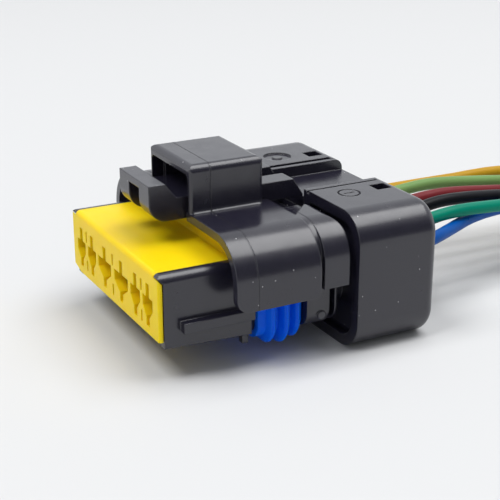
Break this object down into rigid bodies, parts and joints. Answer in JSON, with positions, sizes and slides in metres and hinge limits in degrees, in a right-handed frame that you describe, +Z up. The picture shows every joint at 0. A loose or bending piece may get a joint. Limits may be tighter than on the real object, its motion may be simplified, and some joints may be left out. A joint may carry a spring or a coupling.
{
  "type": "sealed plug connector with pigtail",
  "caption": "Sealed automotive plug with a yellow terminal holder, hooded black housing, rocking latch, ribbed seal and a rear cap, on a short pigtail of coloured leads.",
  "frame": {"origin": "on the standing surface, at the middle of the connector's footprint without its leads", "axes": "+X across the row of terminals, -Y out of the mating face, +Y towards the leads, +Z up"},
  "size_m": [0.0404, 0.1549, 0.0255],
  "materials": {
    "black_moulding": "fine-grained satin moulding",
    "yellow_moulding": "satin moulding",
    "seal_silicone": "silicone with a soft sheen",
    "terminal_tin": "tinned",
    "lead_yellow": "smooth insulation",
    "lead_light_green": "smooth insulation",
    "lead_red": "smooth insulation",
    "lead_black": "smooth insulation",
    "lead_teal": "smooth insulation",
    "lead_blue": "smooth insulation"
  },
  "bodies": {
    "housing": {"main_housing": "black_moulding", "peripheral_seal": "seal_silicone", "rear_cap": "black_moulding", "wire_seal_1": "seal_silicone", "wire_seal_2": "seal_silicone", "wire_seal_3": "seal_silicone", "wire_seal_4": "seal_silicone", "wire_seal_5": "seal_silicone", "wire_seal_6": "seal_silicone", "terminal_1": "terminal_tin", "terminal_2": "terminal_tin", "terminal_3": "terminal_tin", "terminal_4": "terminal_tin", "terminal_5": "terminal_tin", "terminal_6": "terminal_tin", "wire_1": "lead_yellow", "wire_2": "lead_light_green", "wire_3": "lead_red", "wire_4": "lead_black", "wire_5": "lead_teal", "wire_6": "lead_blue"},
    "holder": {"front_holder": "yellow_moulding"},
    "lever": {"latch_lever": "black_moulding"}
  },
  "joints": [
    {"name": "latch_rock", "type": "hinge", "parent": "housing", "child": "lever", "pos_m": [0, -0.0056, 0.0199], "axis": [-1, 0, 0], "range_deg": [0, 7], "stiffness_Nm_per_rad": 0.05},
    {"name": "holder_slide", "type": "slide", "parent": "housing", "child": "holder", "axis": [0, -1, 0], "range_m": [0, 0.0018]}
  ]
}
